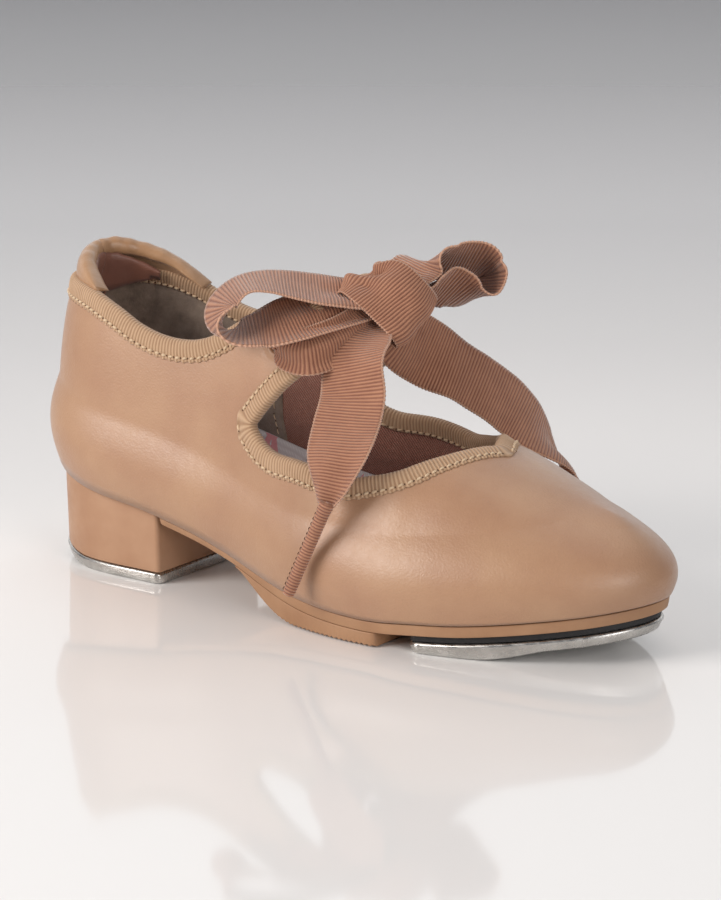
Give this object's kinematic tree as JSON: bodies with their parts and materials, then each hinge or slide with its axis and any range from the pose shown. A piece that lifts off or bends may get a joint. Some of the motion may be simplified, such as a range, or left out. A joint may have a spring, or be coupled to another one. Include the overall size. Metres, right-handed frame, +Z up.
{
  "type": "tap shoe",
  "caption": "Low child's tap shoe with ribbon-tied tabs, bound topline, block heel and metal taps under heel and toe.",
  "frame": {"origin": "middle of the heel tap's flat underside, on the floor", "axes": "+X towards the toe, +Z up, -Y on the side of the hanging ribbon tail"},
  "size_m": [0.1894, 0.0842, 0.0959],
  "materials": {
    "tan_leather": "smooth fine-grained tan synthetic leather",
    "collar_leather": "soft darker tan folded leather",
    "beige_tape": "beige ribbed tape",
    "suede": "grey-brown brushed lining",
    "brown_twill": "brown brushed twill lining",
    "fibre_board": "pressed fibre board",
    "white_sock": "white printed sock cloth on thin foam",
    "spring_steel": "zinc-plated steel",
    "tan_sole": "tan moulded sole rubber",
    "heel_plastic": "tan moulded heel",
    "black_board": "black sounding board",
    "tap_metal": "bright cast aluminium",
    "ribbon_cloth": "tan grosgrain ribbon"
  },
  "bodies": {
    "rear": {"upper": "tan_leather", "heel_collar": "collar_leather", "ankle_binding": "beige_tape", "throat_binding": "beige_tape", "quarter_lining": "suede", "vamp_lining": "brown_twill", "heel_counter": "fibre_board", "insole_board": "fibre_board", "bottom_filler": "fibre_board", "sock_liner": "white_sock", "steel_shank": "spring_steel", "outsole": "tan_sole", "ball_pad": "tan_sole", "heel_block": "heel_plastic", "heel_tap": "tap_metal", "heel_screw": "spring_steel", "heel_tap_screw_1": "spring_steel", "heel_tap_screw_2": "spring_steel", "heel_tap_screw_3": "spring_steel", "heel_nail_1": "spring_steel", "heel_nail_2": "spring_steel", "heel_nail_3": "spring_steel", "heel_nail_4": "spring_steel", "ribbon_knot": "ribbon_cloth", "ribbon_loop_near": "ribbon_cloth", "ribbon_loop_far": "ribbon_cloth", "ribbon_tail_near": "ribbon_cloth", "ribbon_tail_far": "ribbon_cloth", "ribbon_lead_near": "ribbon_cloth", "ribbon_lead_far": "ribbon_cloth", "ribbon_tip_near": "ribbon_cloth", "ribbon_tip_far": "ribbon_cloth"},
    "forefoot": {"toe_tap": "tap_metal", "toe_tap_board": "black_board", "toe_tap_screw_1": "spring_steel", "toe_tap_screw_2": "spring_steel", "toe_tap_screw_3": "spring_steel", "toe_puff": "fibre_board"}
  },
  "joints": [
    {"name": "ball_flex", "type": "hinge", "parent": "rear", "child": "forefoot", "pos_m": [0.08485, 0, 0.006], "axis": [0, -1, 0], "range_deg": [0, 30], "stiffness_Nm_per_rad": 1.5, "deforming": ["upper", "throat_binding", "vamp_lining", "insole_board", "sock_liner", "bottom_filler", "outsole", "ball_pad"]}
  ]
}
